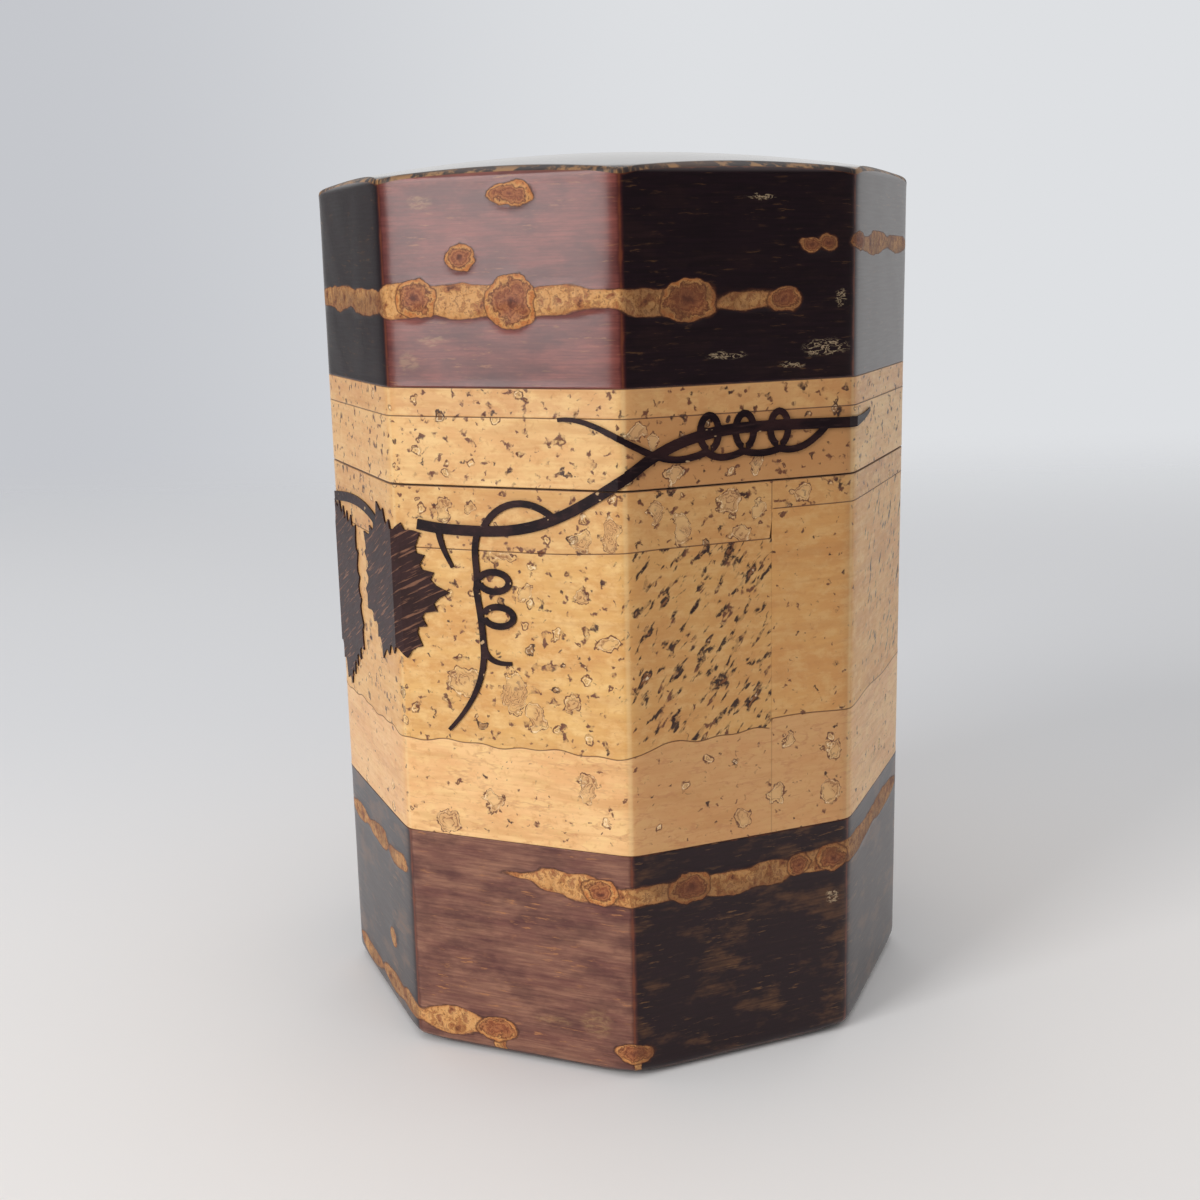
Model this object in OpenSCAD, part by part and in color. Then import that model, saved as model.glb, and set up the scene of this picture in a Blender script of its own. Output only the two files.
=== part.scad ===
// Octagonal tea caddy: mitred wooden staves dressed in cherry bark, with a raised inner
// sleeve, a plug-type inner lid and a crowned outer lid. The bark is dark at the foot and
// round the lid, and pale and corky between, with a vine of dark bark laid over the pale.
// Millimetres, +Z up. The origin is the centre of the underside, and the front arris
// points along -Y. Faces are counted from the front right one, anticlockwise from above.

/* [Body] */
// Distance across two opposite flats, over the bark
across_flats = 80; // [72:1:96]
// Height of the body from the table to the lid seam
body_h = 79.7; // [74:0.1:100]
// Thickness of the eight wooden staves of the body
stave_t = 4.2; // [3.4:0.1:5.4]
// Thickness of the base board between the staves
base_board_t = 5; // [4:0.5:8]
// Radius of the worn bottom edge
foot_round = 1.8; // [1.3:0.1:2.4]

/* [Bark] */
// Thickness of the bark round the sides
bark_t = 0.8; // [0.7:0.05:1.1]
// Thickness of the bark sheet under the base
base_bark_t = 0.8; // [0.6:0.05:1]
// How far each arris is worn back from a sharp corner
arris_wear = 0.35; // [0.2:0.05:0.5]
// Height of the top edge of the dark foot band
foot_band_h = 31.7; // [24:0.1:38]
// Height of the pale strip above the foot band
pale_low_h = 13.4; // [9:0.1:18]
// Height of the pale strip under the rim of the body
pale_high_h = 7.7; // [5:0.1:11]
// Upright joint of the pale bark, measured round from the front arris
upright_joint_u = 20.8; // [18:0.1:26]

/* [Sleeve] */
// Thickness of the eight slats of the inner sleeve
sleeve_t = 2.2; // [1.6:0.1:3]
// How far the sleeve stands above the rim of the body
sleeve_rise = 20; // [14:0.5:22]
// Thickness of the bark round the raised part of the sleeve
sleeve_bark_t = 0.5; // [0.4:0.05:0.8]

/* [Lid] */
// Height of the lid from its lower edge to its crown
lid_h = 43; // [42:0.1:56]
// Height of the eight staves of the lid
lid_stave_h = 33.1; // [32:0.1:34.5]
// Depth of the step that centres the top board between the staves
top_step_h = 1.5; // [1:0.1:2]
// Thickness of the crowned bark sheet on the top
top_bark_t = 0.8; // [0.6:0.05:1]
// Radius of the crown
crown_r = 230; // [180:5:320]
// Radius at which the turned top rolls over towards the corners
roll_r = 4; // [4:0.5:6]
// How far beyond the flats that roll starts
roll_lead = 1.5; // [1.2:0.1:2]
// Radius of the rounded edge between each flat and the top
edge_round = 1.2; // [0.9:0.1:1.8]
// Height from the start of that rounding up to the crown
edge_drop = 4.8; // [4.5:0.1:5.4]
// Height of the pale strip above the seam
lid_pale_low_h = 8.9; // [6:0.1:11]
// Height of the thin pale strip above that one
lid_pale_thin_h = 3.7; // [2.5:0.1:5]

/* [Inner lid] */
// Thickness of the flange that rests on the sleeve
flange_t = 2.2; // [1.6:0.1:3]
// Depth of the plug inside the sleeve
plug_h = 3.5; // [2.5:0.1:6]
// Thickness of the bark facing on top of the flange
facing_t = 0.6; // [0.4:0.05:0.8]
// Height of the turned knob above the facing
knob_h = 7; // [5.5:0.1:7.5]
// Radius of the knob's head
knob_r = 6.5; // [5:0.1:9]
// Radius of the knob's neck
knob_neck_r = 3.4; // [2.8:0.1:4]
// Radius of the knob's foot
knob_foot_r = 4.4; // [3.8:0.1:5]
// Radius of the rounded rim of the knob's head
knob_rim_r = 1.6; // [1.2:0.1:2]
// Radius of the knob's tenon
tenon_r = 2.5; // [2:0.1:2.8]
// Length of the tenon inside the flange and plug
tenon_h = 3.5; // [2.5:0.1:4]

/* [Inlay] */
// How far the vine of dark bark stands proud
inlay_t = 0.2; // [0.15:0.05:0.4]
// Width of the vine's stem
stem_w = 1.4; // [1:0.1:1.8]
// Width of the tendrils
tendril_w = 0.9; // [0.6:0.05:1.1]
// Width at the tips of the stem and the tendrils
tip_w = 0.5; // [0.4:0.05:0.6]
// Longer half of the tendrils' oval curls
curl_long = 2.6; // [2.3:0.1:3]
// Shorter half of the tendrils' oval curls
curl_short = 1.75; // [1.5:0.05:2]
// Half the width of the leaf folded over the left front arris
leaf_half_w = 12; // [9.5:0.1:12.5]
// Half the height of that leaf
leaf_half_h = 11; // [9:0.1:11.8]
// Half the width of the leaf on the left face
side_leaf_half_w = 9.3; // [7.5:0.1:10.5]
// Half the height of that leaf
side_leaf_half_h = 14.5; // [12:0.1:16]

/* [Clearances] */
// Shadow gap between the body and the lid
seam_gap = 0.2; // [0.1:0.05:0.4]
// Running clearance between the sleeve's bark and the lid, each side
lid_clear = 0.25; // [0.15:0.05:0.4]
// Clearance between the inner lid's plug and the sleeve, each side
plug_clear = 0.3; // [0.2:0.05:0.5]
// Gap under the inner lid's flange
flange_gap = 0.1; // [0.05:0.05:0.2]
// Clearance round the top board's step, each side
step_clear = 0.1; // [0.05:0.05:0.2]
// Room kept round and above the knob, inside the lid
knob_room = 1; // [0.6:0.1:1.6]
// Clearance round the knob's tenon, each side
tenon_clear = 0.05; // [0.02:0.01:0.1]

/* [Hidden] */
$fn = 96;
SIDES = 8;
HALF_SIDE = 180 / SIDES;
FACE_STEP = 360 / SIDES;
// Amount by which a cutting solid runs past what it cuts
past = 1;

// Half distances across the flats, from the outside in
ap = across_flats / 2;
core_ap = ap - bark_t;
bore_ap = core_ap - stave_t;
sleeve_in_ap = bore_ap - sleeve_t;
sleeve_out_ap = bore_ap + sleeve_bark_t;
lid_bore_ap = sleeve_out_ap + lid_clear;
face_w = 2 * ap * tan(HALF_SIDE);

// One step of the grid that the vine is drawn on, counted across a face
VINE_STEPS = 33;
vine_grid = face_w / VINE_STEPS;

// Leaves: middles on the vine's grid, number of lobes, and the angle that one lobe points along
leaf_at = [-37.5, -14];
LEAF_LOBES = 7;
leaf_lobe = 50;
side_leaf_at = [-60, -19];
SIDE_LEAF_LOBES = 5;
side_leaf_lobe = 46;
// Angle on the larger leaf at which the stem from the other one meets it, between two lobes
side_stem_turn = 114;
// Teeth round a leaf, their depth, and the width between the lobes, as shares of its half size
LEAF_TEETH = 24;
leaf_tooth = 0.07;
leaf_waist = 0.8;

// Levels of the body
base_top = base_bark_t + base_board_t;
pale_low_top = foot_band_h + pale_low_h;
pale_high_low = body_h - pale_high_h;
sleeve_top = body_h + sleeve_rise;

// Levels of the lid
lid_low = body_h + seam_gap;
lid_pale_top = lid_low + lid_pale_low_h;
lid_dark_low = lid_pale_top + lid_pale_thin_h;
lid_stave_top = lid_low + lid_stave_h;
crown_z = lid_low + lid_h;
edge_z = crown_z - edge_drop;

// Levels of the inner lid
flange_low = sleeve_top + flange_gap;
flange_top = flange_low + flange_t;
facing_top = flange_top + facing_t;

// Steps in the curves of the outlines
arc_steps = 6;
dome_steps = 8;
roll_steps = 6;
ribbon_steps = 12;
curl_steps = 24;
leaf_step = 5;
// Where the edge rounding leaves the arc and runs up under the crown
edge_sweep = 65;

// Colours as the object shows them
dark_bark = [0.20, 0.11, 0.11];
pale_bark = [0.82, 0.64, 0.40];
core_wood = [0.76, 0.58, 0.38];
sleeve_wood = [0.66, 0.44, 0.27];
vine_bark = [0.13, 0.07, 0.09];

// Outside radius of an octagon with a given half distance across its flats
function corner_r(half) = half / cos(HALF_SIDE);

// Turn from the front arris to the middle of face i
function face_turn(i) = HALF_SIDE + FACE_STEP * (i - 1);

module octagon(half, low, high) {
    translate([0, 0, low])
        cylinder(r = corner_r(half), h = high - low, $fn = SIDES);
}

// An octagon whose arrises are worn back
module worn_octagon(half, low, high) {
    intersection() {
        octagon(half, low, high);
        translate([0, 0, low - past])
            cylinder(r = corner_r(half) - arris_wear, h = high - low + 2 * past);
    }
}

// Skin of bark round the wooden core
module bark_ring(low, high) {
    difference() {
        worn_octagon(ap, low, high);
        octagon(core_ap, low - past, high + past);
    }
}

// One mitred board of an eight-sided wall
module mitred_board(i, half_in, half_out, low, high) {
    in_x = half_in * tan(HALF_SIDE);
    out_x = half_out * tan(HALF_SIDE);
    rotate([0, 0, face_turn(i)])
        translate([0, 0, low])
            linear_extrude(height = high - low)
                polygon([[-out_x, -half_out], [out_x, -half_out], [in_x, -half_in], [-in_x, -half_in]]);
}

// Shape swept straight across all four pairs of opposite faces
module across_faces() {
    intersection_for (i = [1 : SIDES / 2])
        rotate([90, 0, face_turn(i)])
            linear_extrude(height = 2 * across_flats, center = true)
                children();
}

// Body

module body_stave(i) {
    color(core_wood)
        mitred_board(i, bore_ap, core_ap, base_bark_t, body_h);
}

module base_board() {
    color(core_wood)
        octagon(bore_ap, base_bark_t, base_top);
}

// Foot outline with its rounded bottom edges
module foot_outline() {
    function corner(side) = [for (k = [0 : arc_steps])
        let (a = 90 * k / arc_steps)
        [side * (ap - foot_round + foot_round * sin(a)), foot_round - foot_round * cos(a)]];
    left = corner(-1);
    polygon(concat(
        corner(1),
        [[ap, foot_band_h + past], [-ap, foot_band_h + past]],
        [for (k = [arc_steps : -1 : 0]) left[k]]
    ));
}

module foot_part(low, high) {
    intersection() {
        worn_octagon(ap, low, high);
        across_faces()
            foot_outline();
    }
}

module base_bark() {
    color(dark_bark)
        foot_part(0, base_bark_t);
}

module foot_band() {
    color(dark_bark)
        difference() {
            foot_part(base_bark_t, foot_band_h);
            octagon(core_ap, 0, foot_band_h + past);
        }
}

module pale_low() {
    color(pale_bark)
        bark_ring(foot_band_h, pale_low_top);
}

// The middle strip is two sheets that meet at an upright joint on face 1 and the face behind
module pale_mid(side) {
    joint_x = upright_joint_u - face_w / 2;
    reach = across_flats;
    intersection() {
        bark_ring(pale_low_top, pale_high_low);
        rotate([0, 0, face_turn(1)])
            translate([side < 0 ? joint_x - reach : joint_x, -reach, pale_low_top - past])
                cube([reach, 2 * reach, body_h]);
    }
}

module pale_mid_left() {
    color(pale_bark)
        pale_mid(-1);
}

module pale_mid_right() {
    color(pale_bark)
        pale_mid(1);
}

module pale_high() {
    color(pale_bark)
        bark_ring(pale_high_low, body_h);
}

module sleeve_slat(i) {
    color(sleeve_wood)
        mitred_board(i, sleeve_in_ap, bore_ap, base_top, sleeve_top);
}

module sleeve_bark() {
    color(dark_bark)
        difference() {
            octagon(sleeve_out_ap, body_h, sleeve_top);
            octagon(bore_ap, body_h - past, sleeve_top + past);
        }
}

// Inner lid

module inner_lid_board() {
    color(sleeve_wood)
        difference() {
            union() {
                octagon(bore_ap, flange_low, flange_top);
                octagon(sleeve_in_ap - plug_clear, sleeve_top - plug_h, flange_top);
            }
            translate([0, 0, flange_top - tenon_h])
                cylinder(r = tenon_r + tenon_clear, h = tenon_h + past);
        }
}

module inner_lid_facing() {
    color(dark_bark)
        difference() {
            octagon(bore_ap, flange_top, facing_top);
            translate([0, 0, flange_top - past])
                cylinder(r = tenon_r + tenon_clear, h = facing_t + 2 * past);
        }
}

// Turned knob: tenon, foot, drawn-in neck and round-edged head
module inner_lid_knob() {
    neck_z = (knob_h - 2 * knob_rim_r) / 2;
    rim_x = knob_r - knob_rim_r;
    rim_z = knob_h - knob_rim_r;
    rim = [for (k = [0 : arc_steps])
        let (a = -60 + 150 * k / arc_steps)
        [rim_x + knob_rim_r * cos(a), rim_z + knob_rim_r * sin(a)]];
    color(sleeve_wood)
        translate([0, 0, facing_top])
            rotate_extrude()
                polygon(concat(
                    [[0, -facing_t - tenon_h], [tenon_r, -facing_t - tenon_h], [tenon_r, 0]],
                    [[knob_foot_r, 0], [knob_neck_r, neck_z]],
                    rim,
                    [[0, knob_h]]
                ));
}

// Lid

module lid_stave(i) {
    color(core_wood)
        mitred_board(i, lid_bore_ap, core_ap, lid_low, lid_stave_top);
}

// Turned form of the top: a shallow crown that rolls over towards the corners
module turned_top(crown) {
    roll_from = ap + roll_lead;
    roll_to = corner_r(ap) + past;
    roll_x = roll_from - roll_r * roll_from / crown_r;
    crown_base = crown - crown_r;
    function crown_at(r) = crown_base + sqrt(crown_r * crown_r - r * r);
    roll_base = crown_at(roll_from) - sqrt(roll_r * roll_r - pow(roll_from - roll_x, 2));
    function roll_at(r) = roll_base + sqrt(roll_r * roll_r - pow(r - roll_x, 2));
    rotate_extrude()
        polygon(concat(
            [[0, body_h]],
            [for (k = [0 : dome_steps]) let (r = roll_from * k / dome_steps) [r, crown_at(r)]],
            [for (k = [1 : roll_steps])
                let (r = roll_from + (roll_to - roll_from) * k / roll_steps) [r, roll_at(r)]],
            [[roll_to, body_h]]
        ));
}

// Lid outline across two faces, with rounded upper edges that run up above the crown
module lid_outline() {
    function edge(side) = [for (k = [0 : arc_steps])
        let (a = edge_sweep * k / arc_steps)
        [side * (ap - edge_round + edge_round * cos(a)), edge_z + edge_round * sin(a)]];
    right = edge(1);
    left = edge(-1);
    last = right[arc_steps];
    peak = last[1] + last[0] * tan(90 - edge_sweep);
    polygon(concat(
        [[-ap, body_h], [ap, body_h]],
        right,
        [[0, peak]],
        [for (k = [arc_steps : -1 : 0]) left[k]]
    ));
}

module lid_form(low) {
    intersection() {
        worn_octagon(ap, low, crown_z + past);
        across_faces()
            lid_outline();
    }
}

// Crowned board with a step between the staves, kept clear of the knob
module lid_top_board() {
    color(core_wood)
        difference() {
            union() {
                intersection() {
                    octagon(core_ap, lid_stave_top, crown_z);
                    turned_top(crown_z - top_bark_t);
                }
                octagon(lid_bore_ap - step_clear, lid_stave_top - top_step_h, lid_stave_top + top_bark_t);
            }
            translate([0, 0, facing_top])
                cylinder(r = knob_r + knob_room, h = knob_h + knob_room);
        }
}

module lid_top_bark() {
    color(dark_bark)
        difference() {
            intersection() {
                lid_form(lid_stave_top);
                turned_top(crown_z);
            }
            turned_top(crown_z - top_bark_t);
        }
}

module lid_dark_band() {
    color(dark_bark)
        difference() {
            intersection() {
                lid_form(lid_dark_low);
                turned_top(crown_z - top_bark_t);
            }
            octagon(core_ap, lid_dark_low - past, crown_z + past);
        }
}

module lid_pale_thin() {
    color(pale_bark)
        bark_ring(lid_pale_top, lid_dark_low);
}

module lid_pale_low() {
    color(pale_bark)
        bark_ring(lid_low, lid_pale_top);
}

// Vine of dark bark, drawn on the unrolled faces: u runs round from the front arris to the
// right, and v up from the lid seam

function along(p, s) = pow(1 - s, 3) * p[0] + 3 * s * pow(1 - s, 2) * p[1]
    + 3 * s * s * (1 - s) * p[2] + pow(s, 3) * p[3];
function heading(p, s) = pow(1 - s, 2) * (p[1] - p[0]) + 2 * s * (1 - s) * (p[2] - p[1])
    + s * s * (p[3] - p[2]);
function beside(p, s, w) = let (d = heading(p, s)) along(p, s) + w / 2 * [-d[1], d[0]] / norm(d);

// A slab of bark along a curve with four control points, from one width to another
module ribbon(points, w_from, w_to) {
    p = vine_grid * points;
    function width(s) = w_from + (w_to - w_from) * s;
    linear_extrude(height = 2 * past)
        polygon(concat(
            [for (k = [0 : ribbon_steps]) let (s = k / ribbon_steps) beside(p, s, -width(s))],
            [for (k = [ribbon_steps : -1 : 0]) let (s = k / ribbon_steps) beside(p, s, width(s))]
        ));
}

// An oval turn of a tendril that does not quite close, opening towards a given angle
module curl(centre, half_w, half_h, opening) {
    sweep = 340;
    function turn(inset) = [for (k = [0 : curl_steps])
        let (a = opening + (360 - sweep) / 2 + sweep * k / curl_steps)
        [(half_w - inset) * cos(a), (half_h - inset) * sin(a)]];
    inside = turn(tendril_w);
    translate(vine_grid * centre)
        linear_extrude(height = 2 * past)
            polygon(concat(turn(0), [for (k = [curl_steps : -1 : 0]) inside[k]]));
}

// Point on a leaf at an angle and a share of its half size, on the vine's grid, and the end of a lobe
function leaf_point(centre, half_w, half_h, a, share) =
    centre + share * [half_w * cos(a), half_h * sin(a)] / vine_grid;
function lobe_end(centre, half_w, half_h, a) = leaf_point(centre, half_w, half_h, a, 1 + leaf_tooth);

// Stem that leaves the folded leaf and climbs over the seam to the right
module stem_drawing() {
    from = lobe_end(leaf_at, leaf_half_w, leaf_half_h, leaf_lobe);
    ribbon([from, [-26, -5.6], [-24, -5.6], [-20, -5.6]], stem_w, stem_w);
    ribbon([[-20.2, -5.6], [-12, -5.6], [-8, -3.4], [0.5, 2]], stem_w, stem_w);
    ribbon([[0.3, 1.85], [4.5, 5], [9, 6.8], [16, 7.1]], stem_w, stem_w);
    ribbon([[15.8, 7.1], [22, 7.3], [27, 7], [33.2, 6.9]], stem_w, stem_w);
    ribbon([[33, 6.9], [36, 6.9], [39, 7.2], [41.5, 7.8]], stem_w, tip_w);
}

// Stem between the two leaves, from an upper lobe of one to the notch beside the top lobe of the other
module side_vine_drawing() {
    upper_lobe = side_leaf_lobe + 360 / SIDE_LEAF_LOBES;
    from = lobe_end(side_leaf_at, side_leaf_half_w, side_leaf_half_h, upper_lobe);
    to = leaf_point(leaf_at, leaf_half_w, leaf_half_h, side_stem_turn, leaf_waist);
    ribbon([from, [-58, -4.6], [-49, -3.6], to], stem_w, stem_w);
}

module body_vine_drawing() {
    stem_drawing();
    ribbon([[-26.2, -5.6], [-25.9, -8], [-25, -9.2], [-24.3, -10.6]], tendril_w, tip_w);
    ribbon([[-19.8, -5.4], [-17.5, -1.2], [-13, -0.8], [-9.6, -3.6]], tendril_w, tendril_w);
    ribbon([[-20.4, -5.6], [-21.6, -8.6], [-20.4, -11], [-21, -13.4]], tendril_w, tendril_w);
    ribbon([[-21, -13.2], [-20.6, -16], [-20.2, -18.6], [-20.2, -22]], tendril_w, tendril_w);
    ribbon([[-20.2, -21.8], [-20.4, -26], [-22.6, -29.6], [-25.8, -32.8]], tendril_w, tip_w);
    ribbon([[-20.2, -20.6], [-20, -23], [-18, -23.2], [-16.2, -23]], tendril_w, tip_w);
    curl([-18.4, -12.2], curl_long, curl_short, 180);
    curl([-17.9, -16.8], curl_long, curl_short, 180);
}

module lid_vine_drawing() {
    stem_drawing();
    ribbon([[-8.8, 8.9], [-5, 9.4], [-2, 7.2], [4, 4.3]], tip_w, tendril_w);
    ribbon([[4.2, 4.4], [6.5, 3.2], [9, 3.6], [11.4, 4.4]], tendril_w, tendril_w);
    ribbon([[11.2, 4.4], [12.6, 3.2], [14.6, 3.4], [16.6, 4.2]], tendril_w, tendril_w);
    ribbon([[16.4, 4.2], [18, 3.6], [20, 3.6], [21.8, 4.2]], tendril_w, tendril_w);
    ribbon([[21.6, 4.2], [24.5, 3.4], [26.5, 4.6], [28.8, 6.8]], tendril_w, tendril_w);
    for (u = [11.7, 16.7, 21.7])
        curl([u, 6.8], curl_short, curl_long, -90);
}

// Broad leaf with pointed lobes and a toothed edge, cut round the stems at the ends of its lobes
module leaf_drawing(centre, half_w, half_h, lobes, lobe_turn) {
    function lobe(a) = 1 - abs(sin(lobes / 2 * (a - lobe_turn)));
    function reach(a) = leaf_waist + (1 - leaf_waist) * lobe(a) + leaf_tooth * cos(LEAF_TEETH * a);
    difference() {
        translate(vine_grid * centre)
            linear_extrude(height = 2 * past)
                polygon([for (a = [0 : leaf_step : 360 - leaf_step])
                    reach(a) * [half_w * cos(a), half_h * sin(a)]]);
        stem_drawing();
        side_vine_drawing();
    }
}

// A drawing laid on the bark over the named faces; faces left of the front arris count down
module laid_on_bark(faces, low, high) {
    intersection() {
        difference() {
            worn_octagon(ap + inlay_t, low, high);
            worn_octagon(ap, low - past, high + past);
        }
        union() {
            for (i = faces)
                rotate([0, 0, face_turn(i)])
                    intersection() {
                        face_wedge(low, high);
                        translate([-face_w * (i - 0.5), -ap + past, body_h])
                            rotate([90, 0, 0])
                                children();
                    }
        }
    }
}

// The sector of the caddy behind one face
module face_wedge(low, high) {
    reach = ap + 2 * past;
    half_x = reach * tan(HALF_SIDE);
    translate([0, 0, low - past])
        linear_extrude(height = high - low + 2 * past)
            polygon([[0, 0], [-half_x, -reach], [half_x, -reach]]);
}

module body_vine() {
    color(vine_bark)
        laid_on_bark([-1, 0], foot_band_h, body_h)
            body_vine_drawing();
}

module side_vine() {
    color(vine_bark)
        laid_on_bark([-2, -1], foot_band_h, body_h)
            side_vine_drawing();
}

module body_leaf() {
    color(vine_bark)
        laid_on_bark([-1, 0], foot_band_h, body_h)
            leaf_drawing(leaf_at, leaf_half_w, leaf_half_h, LEAF_LOBES, leaf_lobe);
}

module side_leaf() {
    color(vine_bark)
        laid_on_bark([-2, -1], foot_band_h, body_h)
            leaf_drawing(side_leaf_at, side_leaf_half_w, side_leaf_half_h, SIDE_LEAF_LOBES, side_leaf_lobe);
}

module lid_vine() {
    color(vine_bark)
        laid_on_bark([0, 1, 2], lid_low, lid_dark_low)
            lid_vine_drawing();
}

for (i = [1 : SIDES]) {
    body_stave(i);
    sleeve_slat(i);
    lid_stave(i);
}
base_board();
base_bark();
foot_band();
pale_low();
pale_mid_left();
pale_mid_right();
pale_high();
sleeve_bark();
body_vine();
side_vine();
body_leaf();
side_leaf();
inner_lid_board();
inner_lid_facing();
inner_lid_knob();
lid_top_board();
lid_top_bark();
lid_dark_band();
lid_pale_thin();
lid_pale_low();
lid_vine();
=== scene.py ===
"""Dresses the tea caddy: bark skins with worn arrises and raised lenticels, planed wood inside, a studio
and a camera at the photograph's angle. Shapes are worked out in millimetres on the unrolled wall: u runs
round from the front arris to the right, z up from the table."""

import math

import bpy
import numpy as np
from mathutils import Matrix, Vector


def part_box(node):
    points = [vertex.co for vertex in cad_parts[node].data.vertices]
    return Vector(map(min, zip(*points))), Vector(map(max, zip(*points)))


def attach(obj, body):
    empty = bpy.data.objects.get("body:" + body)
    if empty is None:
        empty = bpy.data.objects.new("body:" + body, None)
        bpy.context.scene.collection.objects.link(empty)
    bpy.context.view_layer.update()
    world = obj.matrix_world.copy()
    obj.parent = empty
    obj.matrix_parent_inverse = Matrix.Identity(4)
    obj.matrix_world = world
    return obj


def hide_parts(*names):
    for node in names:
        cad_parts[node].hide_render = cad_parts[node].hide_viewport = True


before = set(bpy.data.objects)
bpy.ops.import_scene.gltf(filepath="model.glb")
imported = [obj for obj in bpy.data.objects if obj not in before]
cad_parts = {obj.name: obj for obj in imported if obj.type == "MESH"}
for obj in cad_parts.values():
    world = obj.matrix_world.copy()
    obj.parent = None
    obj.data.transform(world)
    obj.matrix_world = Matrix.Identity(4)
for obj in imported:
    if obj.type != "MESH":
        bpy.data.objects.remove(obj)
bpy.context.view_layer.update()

MM = 0.001
SIDES = 8
HALF = math.pi / SIDES


def level(node, side):
    """Height of a node's underside (side 0) or top (side 1), in millimetres."""
    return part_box(node)[side].z / MM


# Sizes of the octagon: the bark's thickness as in the part, the others read from the frame
BARK_T = 0.8
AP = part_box("body_stave_2")[1].x / MM * math.cos(HALF) + BARK_T
FACE_W = 2 * AP * math.tan(HALF)
ROUND_W = SIDES * FACE_W
CORNER_R = AP / math.cos(HALF)
ARRIS_WEAR = CORNER_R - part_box("pale_low")[1].x / MM
ARRIS_BEND = ARRIS_WEAR / math.tan(HALF)

# Levels of the sheets
BASE_T = level("base_bark", 1)
FOOT_TOP = level("foot_band", 1)
LOW_SEAM = level("pale_low", 1)
HIGH_SEAM = level("pale_high", 0)
BODY_TOP = level("pale_high", 1)
LID_LOW = level("lid_pale_low", 0)
LID_SEAM = level("lid_pale_low", 1)
LID_DARK = level("lid_dark_band", 0)
CROWN = level("lid_top_bark", 1)

# Forms of the foot and of the lid's top, as in the part
FOOT_ROUND = 1.8
EDGE_ROUND = 1.2
EDGE_DROP = 4.8
EDGE_Z = CROWN - EDGE_DROP
EDGE_SWEEP = math.radians(65)
CROWN_R = 230.0
ROLL_R = 4.0
ROLL_LEAD = 1.5
ROLL_FROM = AP + ROLL_LEAD

# Thickness of the top sheet where its edge shows
TOP_SHEET_T = 0.5

# Joints of the pale sheets
JOINT_U = 20.8
BACK_JOINT_U = 4.5 * FACE_W - (JOINT_U - FACE_W / 2)
RIGHT_LOW_SEAM = 47.7
RIGHT_HIGH_SEAM = 76.1
SEAM_GAP = 0.03

# Lie of the dark slanted pits, in degrees, and scale of the small ringed ones
SLANT = 52.0
EYE_SCALE = 0.27

# Relief of the bark: its unevenness, how far it lies sunk, and a lenticel's dome and lip
RIPPLE = 0.015
SUNK = 0.03
DOME = 0.08
LIP = 0.03

# Mesh steps
COLUMN = 0.55
ROW = 0.6
EDGE_ROLL = 0.08
EDGE_LEAD = 0.3
EDGE_ROWS = 9
TOP_RINGS = 40
TOP_MIDDLE = 0.02
HALVINGS = 40


# Lenticels of the dark bark, as strips and as round knots: u, z, half width, half height
def back_band(z, start, count):
    """A band of lenticels that carries on round the back."""
    band = []
    for k in range(count):
        half_w = 8.0 + 2.0 * math.sin(1.7 * k)
        half_h = 1.2 + 0.5 * math.sin(3.1 * k)
        band.append((start + 15.0 * k, z + 0.6 * math.sin(2.3 * k), half_w, half_h))
    return band


LID_STRIPS = [
    (-57.0, 103.7, 12.0, 1.7),
    (-41.5, 103.4, 9.0, 2.0),
    (-31.5, 103.5, 4.0, 2.3),
    (-21.5, 103.5, 7.0, 2.2),
    (-9.0, 103.4, 6.5, 1.9),
    (-2.0, 103.3, 4.5, 1.2),
    (4.0, 102.9, 5.0, 1.7),
    (17.0, 102.7, 4.5, 1.3),
    (44.0, 109.6, 10.0, 1.3),
    (58.0, 109.4, 8.0, 1.4),
] + back_band(103.2, 78.0, 8) + back_band(109.6, 96.0, 4)

LID_KNOTS = [
    (-28.2, 103.7, 2.8, 2.8),
    (-14.8, 103.3, 3.6, 3.6),
    (9.0, 102.9, 4.0, 2.7),
    (22.6, 102.7, 2.8, 1.5),
    (-14.4, 116.2, 3.1, 1.8),
    (-21.6, 108.7, 2.1, 1.9),
    (26.2, 109.3, 1.7, 1.1),
    (28.6, 109.5, 1.7, 1.3),
    (34.5, 109.8, 2.4, 1.3),
]

# Pale marks that lichen has left on it, in the same way
LID_LICHENS = [
    (28.8, 96.5, 3.6, 1.3),
    (23.7, 94.4, 1.9, 0.5),
    (14.3, 96.0, 2.9, 0.5),
    (31.0, 102.6, 1.0, 1.2),
    (19.6, 115.4, 2.4, 0.4),
    (-29.5, 95.8, 1.6, 1.4),
    (-26.0, 98.5, 2.4, 0.6),
    (-27.0, 115.6, 2.0, 0.9),
]

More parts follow.
